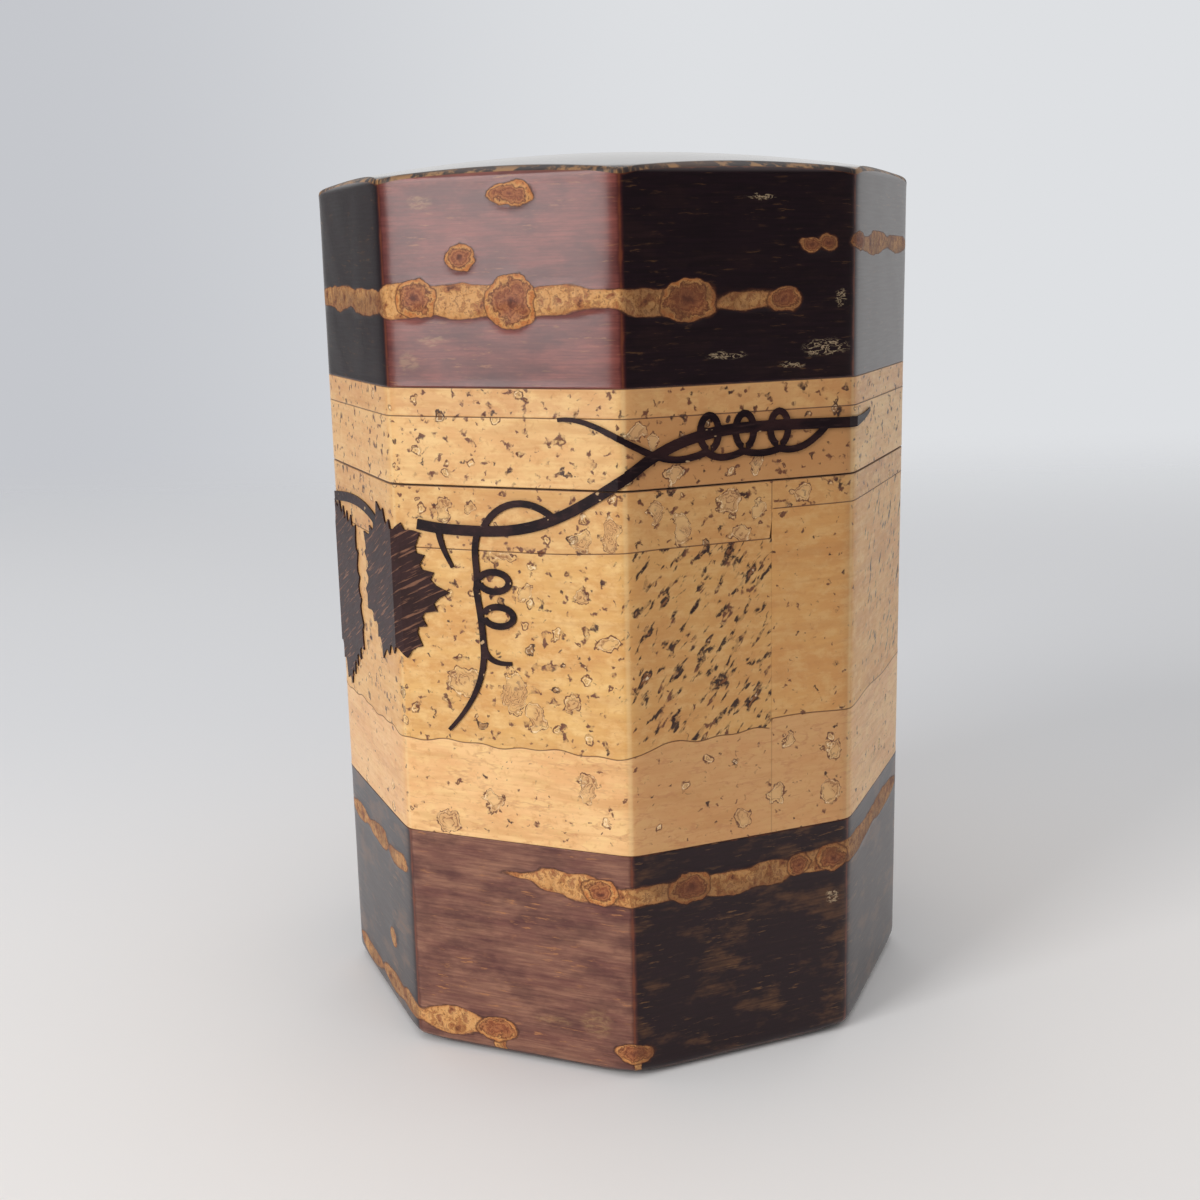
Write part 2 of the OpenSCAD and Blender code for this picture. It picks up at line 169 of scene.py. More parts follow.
FOOT_STRIPS = [
    (-60.0, 25.6, 5.5, 1.5),
    (-50.0, 25.4, 5.5, 1.6),
    (-39.5, 25.2, 5.0, 1.5),
    (-15.0, 27.1, 3.6, 0.5),
    (-11.0, 27.0, 3.8, 1.7),
    (-7.6, 26.5, 3.4, 2.0),
    (2.2, 25.9, 6.4, 1.5),
    (14.4, 25.7, 5.0, 1.9),
    (20.2, 26.0, 4.2, 1.9),
    (28.0, 26.4, 4.0, 1.5),
    (39.0, 27.0, 10.0, 2.0),
    (55.0, 27.3, 10.0, 1.7),
    (-44.0, 11.5, 1.9, 1.6),
    (-58.0, 3.3, 7.0, 1.5),
    (-45.0, 3.9, 6.5, 1.5),
    (-36.0, 4.3, 4.5, 1.6),
    (-27.6, 4.1, 5.2, 1.9),
    (-20.0, 1.2, 0.9, 1.3),
    (0.3, 1.6, 0.55, 1.6),
] + back_band(26.3, 76.0, 8) + back_band(4.4, 88.0, 5)

FOOT_KNOTS = [
    (-4.6, 26.1, 2.8, 2.0),
    (8.4, 26.1, 3.3, 2.3),
    (25.0, 26.3, 2.0, 1.6),
    (30.4, 26.5, 2.7, 2.1),
    (-20.6, 3.8, 3.2, 1.7),
    (0.0, 3.5, 3.0, 1.5),
]

FOOT_LICHENS = [
    (-5.6, 7.2, 2.4, 2.4),
    (-12.0, 6.6, 3.0, 0.7),
    (30.6, 20.8, 1.1, 1.2),
]

# Larger pits of the pale bark, in the same way
HIGH_PITS = [
    (-25.4, 76.5, 1.1, 1.6),
    (-21.5, 77.2, 0.7, 0.8),
    (-2.1, 74.6, 1.2, 2.5),
    (-6.0, 73.3, 1.1, 1.7),
    (7.7, 74.6, 1.2, 2.2),
    (16.2, 73.5, 1.4, 1.1),
    (14.6, 77.6, 1.7, 1.6),
    (4.2, 77.0, 1.1, 1.7),
    (18.7, 76.0, 0.9, 1.5),
    (25.3, 77.6, 1.3, 1.3),
]

LEFT_PITS = [
    (-17.3, 70.6, 2.3, 0.6),
    (-14.0, 66.4, 0.9, 1.2),
    (-6.2, 65.9, 1.1, 1.2),
    (-2.6, 60.4, 1.8, 1.0),
    (-23.7, 53.7, 2.4, 2.2),
    (-16.2, 52.6, 1.6, 3.2),
    (-13.1, 49.7, 1.6, 1.7),
    (-8.0, 51.9, 1.3, 1.1),
    (-9.8, 60.5, 0.8, 0.6),
]

LOW_PITS = [
    (-26.8, 33.6, 1.9, 1.5),
    (-19.7, 37.4, 1.6, 1.6),
    (-6.0, 40.4, 1.2, 1.9),
    (21.7, 37.2, 1.5, 1.4),
    (30.2, 36.1, 1.8, 1.5),
    (23.4, 44.6, 0.9, 1.0),
    (30.6, 42.1, 1.5, 1.3),
    (16.4, 34.6, 1.3, 1.1),
]

LID_PITS = [
    (7.0, 81.6, 1.6, 1.2),
    (18.5, 82.3, 0.8, 1.4),
    (1.8, 87.0, 1.2, 1.1),
    (3.9, 85.6, 0.7, 1.3),
    (15.1, 81.6, 0.7, 0.6),
]


# The unrolled wall
def wall(u):
    """Points and outward normals of the worn octagon at the places u."""
    arris = np.round(u / FACE_W)
    turn = -math.pi / 2 + 2 * HALF * arris
    x = (u - arris * FACE_W) * math.cos(HALF)
    bend = np.hypot(x, ARRIS_BEND)
    y = CORNER_R - math.tan(HALF) * bend
    slope = math.tan(HALF) * x / bend
    norm = np.hypot(slope, 1)

    def placed(along, out):
        across = out * np.cos(turn) - along * np.sin(turn)
        deep = out * np.sin(turn) + along * np.cos(turn)
        return np.stack([across, deep], -1)

    return placed(x, y), placed(slope / norm, 1 / norm)


def arris_distance(u):
    """Distance from the nearest arris, along the wall."""
    return np.abs(u - FACE_W * np.round(u / FACE_W))


def smooth(value, low, high):
    """A smooth step from 0 at low to 1 at high."""
    t = np.clip((value - low) / (high - low), 0, 1)
    return t * t * (3 - 2 * t)


def ripple(u, z):
    """Slow unevenness of hand-laid bark."""
    turn = 2 * math.pi * u / ROUND_W
    wave = np.sin(17 * turn + z / 5) * np.sin(z / 3.7 + 1.3 * np.sin(9 * turn))
    return RIPPLE * wave - SUNK


def lenticel_relief(lenticels):
    """Relief of raised lenticels: a low dome with a lip, worn away towards the arrises."""
    def relief(u, z):
        total = ripple(u, z)
        worn = smooth(arris_distance(u), 0.3, 3.0)
        for cu, cz, half_w, half_h in lenticels:
            du = (u - cu + ROUND_W / 2) % ROUND_W - ROUND_W / 2
            d = np.hypot(du / half_w, (z - cz) / half_h)
            lip = np.exp(-(((d - 0.72) / 0.2) ** 2))
            total = total + worn * (DOME * (1 - smooth(d, 0.8, 1.1)) + LIP * lip)
        return total
    return relief


# Meshes
def make_piece(name, node, body, points, wrap, cyclic=True, round_trip=0.0, disc=False):
    """A closed piece from rows of points. The rows close on themselves, or in a disc end in caps at its
    middle; open columns get end caps. The wrap is kept per corner, so that u can run on by a round trip
    where the columns close."""
    rows, columns, _ = points.shape
    index = np.arange(rows * columns).reshape(rows, columns)
    ahead = np.roll(index, -1, axis=1)
    above = np.roll(index, -1, axis=0)
    above_ahead = np.roll(above, -1, axis=1)
    quads = np.stack([index, ahead, above_ahead, above], -1)
    corners = wrap.reshape(-1, 3)[quads]
    caps = []
    if cyclic:
        corners[:, -1, 1:3, 0] += round_trip
    else:
        quads, corners = quads[:, :-1], corners[:, :-1]
        caps += [(index[:, 0], wrap[:, 0]), (index[::-1, -1], wrap[::-1, -1])]
    if disc:
        quads, corners = quads[:-1], corners[:-1]
        caps += [(index[0, ::-1], wrap[0, ::-1]), (index[-1], wrap[-1])]
    faces = quads.reshape(-1, 4).tolist() + [cap.tolist() for cap, _ in caps]
    corners = np.concatenate([corners.reshape(-1, 3)] + [places for _, places in caps])
    mesh = bpy.data.meshes.new(name)
    mesh.from_pydata((points.reshape(-1, 3) * MM).tolist(), [], faces)
    mesh.polygons.foreach_set("use_smooth", np.ones(len(faces), bool))
    layer = mesh.attributes.new("wrap", "FLOAT_VECTOR", "CORNER")
    layer.data.foreach_set("vector", corners.reshape(-1).astype(np.float32))
    mesh.set_sharp_from_angle(angle=math.radians(50))
    obj = bpy.data.objects.new(name, mesh)
    bpy.context.collection.objects.link(obj)
    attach(obj, body)
    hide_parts(node)
    return obj


def columns_between(start, end):
    """Places along the wall, all round or from one joint to the other, with the cyclic flag."""
    cyclic = end - start > ROUND_W - COLUMN
    count = SIDES * round(FACE_W / COLUMN) if cyclic else round((end - start) / COLUMN) + 1
    return np.linspace(start, end, count, endpoint=not cyclic), cyclic


def rows_on_wall(u, low, high, relief, inset_at=None):
    """Rows of a sheet's outside from its lower edge to its upper one, with rolled edges, and their wrap."""
    steps = max(int(round((high - low).mean() / ROW)), 4)
    edge = [0.0, 0.3 * EDGE_ROLL, EDGE_ROLL, 3 * EDGE_ROLL]
    share = np.linspace(0, 1, steps + 1)[1:-1]
    heights = [low + e for e in edge] + [low + (high - low) * s for s in share]
    heights += [high - e for e in reversed(edge)]
    foot, normal = wall(u)
    points, wraps = [], []
    for z in heights:
        to_edge = np.minimum(z - low, high - z)
        roll = np.clip(EDGE_ROLL - to_edge, 0, None)
        inset = EDGE_ROLL - np.sqrt(np.clip(EDGE_ROLL ** 2 - roll ** 2, 0, None))
        if inset_at is not None:
            inset = inset + inset_at(u, z)
        lift = relief(u, z) * smooth(to_edge, 0.0, 0.8)
        xy = foot * (1 - inset / AP)[:, None] + normal * lift[:, None]
        points.append(np.column_stack([xy, z]))
        wraps.append(np.column_stack([u, z, to_edge]))
    return points, wraps


def inner_row(u, z):
    """A row on the wooden core, which closes a sheet at the back."""
    foot, _ = wall(u)
    xy = foot * (1 - BARK_T / AP)
    return np.column_stack([xy, z]), np.column_stack([u, z, np.zeros_like(u)])


def sheet(name, body, low, high, relief, start=-ROUND_W / 2, end=ROUND_W / 2, inset_at=None):
    """One sheet of bark between two edges, each a function of u."""
    u, cyclic = columns_between(start, end)
    bottom, top = low(u), high(u)
    points, wraps = rows_on_wall(u, bottom, top, relief, inset_at)
    first, last = inner_row(u, bottom), inner_row(u, top)
    points = [first[0]] + points + [last[0]]
    wraps = [first[1]] + wraps + [last[1]]
    return make_piece(name, name.removeprefix("bark_"), body, np.array(points), np.array(wraps),
                      cyclic, ROUND_W)


def flat(z):
    """An edge at one height."""
    return lambda u: np.full_like(u, z)


def on_right_sheet(u):
    """True where a place lies under the right-hand sheet of the middle strip."""
    place = (u - JOINT_U) % ROUND_W
    return place < BACK_JOINT_U - JOINT_U


def low_seam(u):
    """The wavy joint between the low strip and the middle sheets."""
    place = (u + ROUND_W / 2) % ROUND_W - ROUND_W / 2
    left = LOW_SEAM + 1.4 * smooth(place, 1.0, 5.5) + 0.2 * np.sin(place / 2.3) + 0.15 * np.sin(place / 0.9)
    right = RIGHT_LOW_SEAM + 0.2 * np.sin(place / 3.1)
    return np.where(on_right_sheet(u), right, left)


def high_seam(u):
    """The joint between the middle sheets and the strip under the rim."""
    place = (u + ROUND_W / 2) % ROUND_W - ROUND_W / 2
    left = HIGH_SEAM - 0.5 + 0.7 * smooth(place, -12.0, 6.0)
    return np.where(on_right_sheet(u), RIGHT_HIGH_SEAM, left)


def shifted(edge, by):
    """An edge moved up or down."""
    return lambda u: edge(u) + by


def foot_inset(u, z):
    """How far the rounded bottom edge draws in at a place, more at the corners."""
    below = np.clip(FOOT_ROUND - z, 0, FOOT_ROUND)
    corner = 1 - smooth(arris_distance(u), 0.0, 5.0)
    return (FOOT_ROUND - np.sqrt(FOOT_ROUND ** 2 - below ** 2)) * (1 + 0.7 * corner)


def no_relief(u, z):
    """Plain bark with its slow unevenness only."""
    return ripple(u, z)


# The lid's top
def top_height(r):
    """Height of the turned crown at a radius, with its roll towards the corners."""
    crown = CROWN - CROWN_R + np.sqrt(CROWN_R ** 2 - r ** 2)
    at_roll = CROWN - CROWN_R + math.sqrt(CROWN_R ** 2 - ROLL_FROM ** 2)
    roll_x = ROLL_FROM * (1 - ROLL_R / CROWN_R)
    roll_base = at_roll - math.sqrt(ROLL_R ** 2 - (ROLL_FROM - roll_x) ** 2)
    roll = roll_base + np.sqrt(np.clip(ROLL_R ** 2 - (r - roll_x) ** 2, 0, None))
    return np.where(r > ROLL_FROM, roll, crown)


def edge_inset(z):
    """How far the lid's rounded edge has drawn in at a height."""
    arc_top = EDGE_ROUND * math.sin(EDGE_SWEEP)
    on_arc = np.clip(z - EDGE_Z, 0, arc_top)
    beyond = np.clip(z - EDGE_Z - arc_top, 0, None)
    return EDGE_ROUND - np.sqrt(EDGE_ROUND ** 2 - on_arc ** 2) + beyond * math.tan(EDGE_SWEEP)


def edge_meets(u, drop):
    """Height at which the lid's edge meets the crown lowered by a drop, for each place."""
    radius = np.linalg.norm(wall(u)[0], axis=1)
    low, high = np.full_like(u, LID_DARK), np.full_like(u, CROWN)
    for _ in range(HALVINGS):
        mid = (low + high) / 2
        below = mid < top_height(radius * (1 - edge_inset(mid) / AP)) - drop
        low = np.where(below, mid, low)
        high = np.where(below, high, mid)
    return (low + high) / 2


def lid_band(relief):
    """The dark band of the lid, rounded over at its upper edge up to the top sheet."""
    u, _ = columns_between(-ROUND_W / 2, ROUND_W / 2)
    bottom = np.full_like(u, LID_DARK)
    meets = edge_meets(u, TOP_SHEET_T)
    start = np.minimum(meets, EDGE_Z) - EDGE_LEAD
    points, wraps = rows_on_wall(u, bottom, start + 3 * EDGE_ROLL, relief)
    points, wraps = points[:-3], wraps[:-3]
    wraps = [np.column_stack([w[:, :2], w[:, 1] - bottom]) for w in wraps]
    foot, normal = wall(u)
    for share in np.linspace(0, 1, EDGE_ROWS + 1)[1:]:
        z = start + (meets - start) * share
        lift = 0.2 * relief(u, z) * (1 - share)
        xy = foot * (1 - edge_inset(z) / AP)[:, None] + normal * lift[:, None]
        points.append(np.column_stack([xy, z]))
        wraps.append(np.column_stack([u, z, meets - z]))
    first, last = inner_row(u, bottom), inner_row(u, meets - EDGE_LEAD)
    points = [first[0]] + points + [last[0]]
    wraps = [first[1]] + wraps + [last[1]]
    return make_piece("bark_lid_dark_band", "lid_dark_band", "lid",
                      np.array(points), np.array(wraps), True, ROUND_W)


def lid_top():
    """The crowned sheet on top, its edge resting on the band."""
    u, _ = columns_between(-ROUND_W / 2, ROUND_W / 2)
    foot, _ = wall(u)
    under, over = edge_meets(u, TOP_SHEET_T), edge_meets(u, 0.0)
    rings = np.linspace(TOP_MIDDLE, 1, TOP_RINGS)
    points, wraps = [], []

    def add(inset, z, rim):
        xy = foot * (1 - inset / AP)[:, None]
        points.append(np.column_stack([xy, z]))
        wraps.append(np.column_stack([xy, rim]))

    def crown_at(inset, drop):
        return top_height(np.linalg.norm(foot, axis=1) * (1 - inset / AP)) - drop

    for ring in rings:
        inset = AP - ring * (AP - edge_inset(under))
        add(inset, crown_at(inset, TOP_SHEET_T), np.zeros_like(u))
    for share in (0.15, 0.4, 0.7, 0.9):
        z = under + share * (over - under)
        add(edge_inset(z), z, np.full_like(u, 0.3 * share))
    for ring in rings[::-1]:
        inset = AP - ring * (AP - edge_inset(over))
        add(inset, crown_at(inset, 0.0), 0.5 + inset - edge_inset(over))
    return make_piece("bark_lid_top_bark", "lid_top_bark", "lid",
                      np.array(points), np.array(wraps), disc=True)


def base_sheet():
    """The bark sheet under the base, with the lower part of the rounded edge."""
    u, _ = columns_between(-ROUND_W / 2, ROUND_W / 2)
    foot, _ = wall(u)
    points, wraps = [], []

    def add(inset, z):
        xy = foot * (1 - inset / AP)[:, None]
        points.append(np.column_stack([xy, np.full_like(u, z)]))
        wraps.append(np.column_stack([xy, np.full_like(u, 3.0)]))

    for inset in (AP * 0.99, AP / 2, 2 * FOOT_ROUND):
        add(np.full_like(u, inset), BASE_T)
    for z in np.linspace(BASE_T, 0, 6):
        add(foot_inset(u, z), z)
    for inset in (AP / 4, AP / 2, AP * 0.99):
        add(np.full_like(u, inset), 0.0)
    return make_piece("bark_base_bark", "base_bark", "body",
                      np.array(points), np.array(wraps), disc=True)


# Node trees
class Tree:
    """Short calls for the node tree of a material or world. An input is a number, a colour, a vector or
    a socket."""

    def __init__(self, owner):
        self.owner = owner
        owner.use_nodes = True
        self.nodes = owner.node_tree.nodes
        self.links = owner.node_tree.links
        self.shader = self.nodes.get("Principled BSDF")

    def put(self, socket, value):
        if isinstance(value, bpy.types.NodeSocket):
            self.links.new(value, socket)
        else:
            socket.default_value = value

    def node(self, kind, **settings):
        made = self.nodes.new(kind)
        for key, value in settings.items():
            setattr(made, key, value)
        return made

    def math(self, operation, a, b=0.0, clamp=False):
        made = self.node("ShaderNodeMath", operation=operation, use_clamp=clamp)
        self.put(made.inputs[0], a)
        self.put(made.inputs[1], b)
        return made.outputs[0]

    def vector(self, operation, a, b=(0, 0, 0)):
        made = self.node("ShaderNodeVectorMath", operation=operation)
        self.put(made.inputs[0], a)
        self.put(made.inputs[1], b)
        return made.outputs["Value" if operation == "LENGTH" else "Vector"]

    def step(self, value, low, high, to_low=0.0, to_high=1.0):
        made = self.node("ShaderNodeMapRange", interpolation_type="SMOOTHSTEP")
        self.put(made.inputs["Value"], value)
        for key, number in (("From Min", low), ("From Max", high), ("To Min", to_low), ("To Max", to_high)):
            self.put(made.inputs[key], number)
        return made.outputs["Result"]

    def mix(self, share, a, b, blend="MIX"):
        made = self.node("ShaderNodeMix", data_type="RGBA", blend_type=blend)
        self.put(made.inputs["Factor"], share)
        self.put(made.inputs["A"], a)
        self.put(made.inputs["B"], b)
        return made.outputs["Result"]

    def ramp(self, value, stops):
        made = self.node("ShaderNodeValToRGB")
        band = made.color_ramp
        while len(band.elements) < len(stops):
            band.elements.new(0.5)
        for element, (place, colour) in zip(band.elements, stops):
            element.position = place
            element.color = colour
        self.put(made.inputs["Fac"], value)
        return made.outputs["Color"]

    def noise(self, place, scale, detail=3.0, rough=0.55, distortion=0.0):
        made = self.node("ShaderNodeTexNoise")
        self.put(made.inputs["Vector"], self.vector("MULTIPLY", place, scale))
        made.inputs["Scale"].default_value = 1.0
        made.inputs["Detail"].default_value = detail
        made.inputs["Roughness"].default_value = rough
        made.inputs["Distortion"].default_value = distortion
        return made.outputs["Fac"], made.outputs["Color"]

    def cells(self, place, scale, feature="F1"):
        made = self.node("ShaderNodeTexVoronoi", feature=feature, voronoi_dimensions="2D")
        self.put(made.inputs["Vector"], self.vector("MULTIPLY", place, scale))
        made.inputs["Scale"].default_value = 1.0
        return made.outputs

    def split(self, vector):
        made = self.node("ShaderNodeSeparateXYZ")
        self.put(made.inputs[0], vector)
        return made.outputs

    def wrap(self):
        """Place on the unrolled wall as a vector (u, z, 0), then u, z and the distance from the edge."""
        made = self.node("ShaderNodeAttribute", attribute_name="wrap")
        parts = self.split(made.outputs["Vector"])
        place = self.node("ShaderNodeCombineXYZ")
        self.put(place.inputs[0], parts[0])
        self.put(place.inputs[1], parts[1])
        return place.outputs[0], parts[0], parts[1], parts[2]

    def moved(self, place, scale, amount):
        """The place shifted about by noise."""
        _, colour = self.noise(place, scale, 3.0)
        centred = self.vector("SUBTRACT", colour, (0.5, 0.5, 0.5))
        shift = self.vector("MULTIPLY", centred, (amount, amount, 0))
        return self.vector("ADD", place, shift)

    def bump(self, height, strength, distance):
        made = self.node("ShaderNodeBump")
        made.inputs["Strength"].default_value = strength
        made.inputs["Distance"].default_value = distance
        self.put(made.inputs["Height"], height)
        self.put(self.shader.inputs["Normal"], made.outputs["Normal"])

    def finish(self, **inputs):
        for key, value in inputs.items():
            self.put(self.shader.inputs[key.replace("_", " ")], value)
        return self.owner


def rgb(red, green, blue):
    """A colour given as it shows on screen, 0 to 255, as a linear one."""
    def linear(c):
        c = c / 255
        return c / 12.92 if c <= 0.04045 else ((c + 0.055) / 1.055) ** 2.4
    return (linear(red), linear(green), linear(blue), 1.0)


def lenticel_shares(t, place, lenticels):
    """For each lenticel, how far out a place lies: 0 at its middle and 1 at its edge."""
    shares = []
    for cu, cz, half_w, half_h in lenticels:
        turned = cu - ROUND_W if cu > ROUND_W / 2 else cu
        off = t.vector("SUBTRACT", place, (turned, cz, 0))
        shares.append(t.vector("LENGTH", t.vector("DIVIDE", off, (half_w, half_h, 1.0))))
    return shares


def merged(t, values, blend):
    """The least of several values, with a soft change from one to the next."""
    least = values[0]
    for value in values[1:]:
        least = t.math("SMOOTH_MIN", least, value)
        least.node.inputs[2].default_value = blend
    return least


def lenticel_field(t, place, lenticels, blend):
    """Distance in millimetres from the merged edge of lenticels, negative inside."""
    shares = lenticel_shares(t, place, lenticels)
    edges = [t.math("MULTIPLY", t.math("SUBTRACT", share, 1.0), l[3]) for share, l in zip(shares, lenticels)]
    return merged(t, edges, blend)


def dark_bark(name, strips, knots, lichens, streaks, cloud, lit_face_tones, coat, coat_ior):
    """Polished dark bark with fine streaks, golden specks, lichen marks, worn arrises and golden lenticels.
    The front left face, which faces the key, is painted in two browner, lighter tones: partly its own
    browner bark and partly painted light, the key's sheen on it; its specks are painted lighter, and the
    lenticels off it darker as painted shade. Streaks and cloud are the shares of the specks and of the brown
    clouds, coat and coat_ior the weight and the index of the polish."""
    t = Tree(bpy.data.materials.new(name))
    place, u, _, rim = t.wrap()
    fine, _ = t.noise(place, (0.14, 3.0, 1.0), 5.0, 0.65)
    broad, _ = t.noise(place, (0.11, 0.22, 1.0), 4.0, 0.6)
    skin = t.mix(t.step(fine, 0.35, 0.65), rgb(14, 8, 15), rgb(24, 12, 21))
    clouded = t.math("MULTIPLY", t.step(broad, 0.5, 0.64), t.step(fine, 0.36, 0.6, 0.35, 1.0))
    skin = t.mix(t.math("MULTIPLY", clouded, cloud), skin, rgb(90, 60, 38))
    # Painted light: the front left face, which faces the key, gets lighter browner tones, partly its own
    # browner bark and partly the key's sheen painted in
    lit_face = t.math("MULTIPLY", t.step(u, -FACE_W - 0.6, -FACE_W + 0.6), t.step(u, -0.6, 0.6, 1.0, 0.0))
    drawn, _ = t.noise(place, (0.08, 0.36, 1.0), 6.0, 0.7)
    lit_tone = t.mix(t.step(drawn, 0.3, 0.7), lit_face_tones[0], lit_face_tones[1])
    lit_tone = t.mix(t.step(fine, 0.36, 0.64, 0.4, 0.0), lit_tone, rgb(60, 30, 32))
    lit_tone = t.mix(t.step(broad, 0.36, 0.56, 0.55, 0.0), lit_tone, rgb(60, 30, 34))
    skin = t.mix(lit_face, skin, lit_tone)
    speck, _ = t.noise(place, (0.3, 2.0, 1.0), 4.0, 0.65)
    patch, _ = t.noise(place, (0.1, 0.16, 1.0), 2.0)
    golden = t.math("MULTIPLY", t.step(speck, 0.57, 0.67), t.step(patch, 0.44, 0.6, 0.1, 1.0))
    # The golden specks are painted lighter on the front left face, as painted light of the key
    skin = t.mix(t.math("MULTIPLY", golden, streaks), skin, t.mix(lit_face, rgb(116, 82, 50), rgb(172, 116, 74)))
    crusted = t.moved(place, (0.5, 0.9, 1.0), 1.6)
    near = merged(t, lenticel_shares(t, crusted, lichens), 0.1)
    vein, _ = t.noise(place, (0.8, 2.0, 1.0), 4.0, 0.6, 0.8)
    lines = t.step(t.math("ABSOLUTE", t.math("SUBTRACT", vein, 0.5)), 0.015, 0.05, 0.65, 0.0)
    crust = t.math("MULTIPLY", t.step(vein, 0.4, 0.6, 0.1, 0.45), lit_face)
    mark = t.math("MAXIMUM", crust, t.math("MULTIPLY", lines, t.math("SUBTRACT", 1.0, lit_face)))
    mark = t.math("MULTIPLY", mark, t.step(near, 0.6, 1.1, 1.0, 0.0))
    skin = t.mix(mark, skin, t.mix(lit_face, rgb(206, 180, 144), rgb(160, 124, 86)))
    # Worn arrises and rims
    arris = t.math("PINGPONG", u, FACE_W / 2)
    ragged, _ = t.noise(place, (0.6, 0.4, 1.0), 3.0)
    spread = t.math("ADD", arris, t.math("MULTIPLY", ragged, 0.9))
    skin = t.mix(t.step(spread, 0.5, 1.1, 0.5, 0.0), skin, rgb(66, 24, 22))
    skin = t.mix(t.step(spread, 0.4, 0.75, 0.6, 0.0), skin, rgb(120, 62, 38))
    edge = t.math("ADD", rim, t.math("MULTIPLY", ragged, 0.7))
    skin = t.mix(t.step(edge, 0.25, 0.55, 0.6, 0.0), skin, rgb(112, 62, 38))
    # Lenticels: mottled strips that run into knots with rings
    bent = t.moved(t.moved(place, (0.22, 0.28, 1.0), 2.4), (0.7, 0.9, 1.0), 0.45)
    knot = lenticel_field(t, bent, knots, 0.1)
    drawn_out = t.moved(t.moved(place, (0.1, 0.28, 1.0), 2.2), (0.35, 0.9, 1.0), 0.5)
    whole = merged(t, [knot, lenticel_field(t, drawn_out, strips, 0.6)], 0.6)
    mottle, _ = t.noise(t.moved(place, (0.8, 0.8, 1.0), 1.6), (0.5, 0.45, 1.0), 5.0, 0.68)
    grain, _ = t.noise(place, (1.9, 2.3, 1.0), 4.0, 0.65)
    cork = t.ramp(mottle, [
        (0.32, rgb(94, 54, 38)),
        (0.4, rgb(156, 98, 60)),
        (0.47, rgb(200, 144, 86)),
        (0.56, rgb(214, 162, 104)),
        (0.65, rgb(150, 94, 60)),
    ])
    stroke, _ = t.noise(place, (1.3, 0.25, 1.0), 3.0)
    cork = t.mix(t.step(stroke, 0.52, 0.64, 0.0, 0.3), cork, rgb(124, 80, 46))
    rings = merged(t, lenticel_shares(t, bent, knots), 0.05)
    rings = t.math("ADD", rings, t.math("MULTIPLY", t.math("SUBTRACT", mottle, 0.5), 1.5))
    ringed = t.ramp(rings, [
        (0.0, rgb(92, 50, 38)),
        (0.14, rgb(130, 74, 52)),
        (0.32, rgb(168, 106, 68)),
        (0.46, rgb(128, 70, 46)),
        (0.6, rgb(182, 120, 74)),
        (0.7, rgb(104, 56, 38)),
        (0.82, rgb(208, 152, 92)),
        (0.97, rgb(190, 118, 64)),
    ])
    in_knot = t.step(knot, -0.25, 0.1, 1.0, 0.0)
    cork = t.mix(in_knot, cork, ringed)
    cork = t.mix(t.step(grain, 0.34, 0.46, 0.28, 0.0), cork, rgb(96, 58, 40))
    cork = t.mix(t.step(whole, -0.45, -0.12, 0.0, 0.5), cork, rgb(186, 120, 72))
    crack = t.math("PINGPONG", t.math("SUBTRACT", mottle, 0.46), 0.06)
    cork = t.mix(t.step(crack, 0.002, 0.012, 0.7, 0.0), cork, rgb(74, 42, 28))
    seam = t.step(t.math("ABSOLUTE", knot), 0.03, 0.16, 0.7, 0.0)
    cork = t.mix(seam, cork, rgb(78, 42, 28))
    # Painted shade: off the front left face the lenticels are darkened in blotches, away from the key
    cork_shade = t.math("MULTIPLY", t.step(broad, 0.38, 0.6, 0.25, 0.6), t.math("SUBTRACT", 1.0, lit_face))
    cork = t.mix(cork_shade, cork, rgb(92, 58, 42))
    inside = t.step(whole, -0.12, 0.06, 1.0, 0.0)
    around = t.math("ABSOLUTE", whole)
    broken = t.step(grain, 0.38, 0.55, 0.35, 0.9)
    colour = t.mix(inside, skin, cork)
    outline = t.math("MULTIPLY", t.step(around, 0.04, 0.18, 1.0, 0.0), broken)
    outline = t.math("MULTIPLY", outline, t.step(lit_face, 0.0, 1.0, 1.0, 0.7))
    colour = t.mix(outline, colour, rgb(50, 25, 19))
    # Relief and gloss; the lenticels are duller
    height = t.math("ADD", t.math("MULTIPLY", fine, 0.06), t.math("MULTIPLY", inside, 0.4))
    height = t.math("SUBTRACT", height, t.math("MULTIPLY", t.math("MULTIPLY", inside, mottle), 1.4))
    t.bump(height, 0.6, 0.0003)
    gloss = t.math("ADD", t.math("MULTIPLY", inside, 0.15), t.step(fine, 0.3, 0.7, 0.4, 0.45))
    return t.finish(Base_Color=colour, Roughness=gloss, Specular_IOR_Level=0.3,
                    Specular_Tint=(1.0, 0.6, 0.55, 1.0), Coat_Weight=t.step(whole, -0.1, 0.05, 0.1, coat),
                    Coat_Roughness=0.2, Coat_IOR=coat_ior)


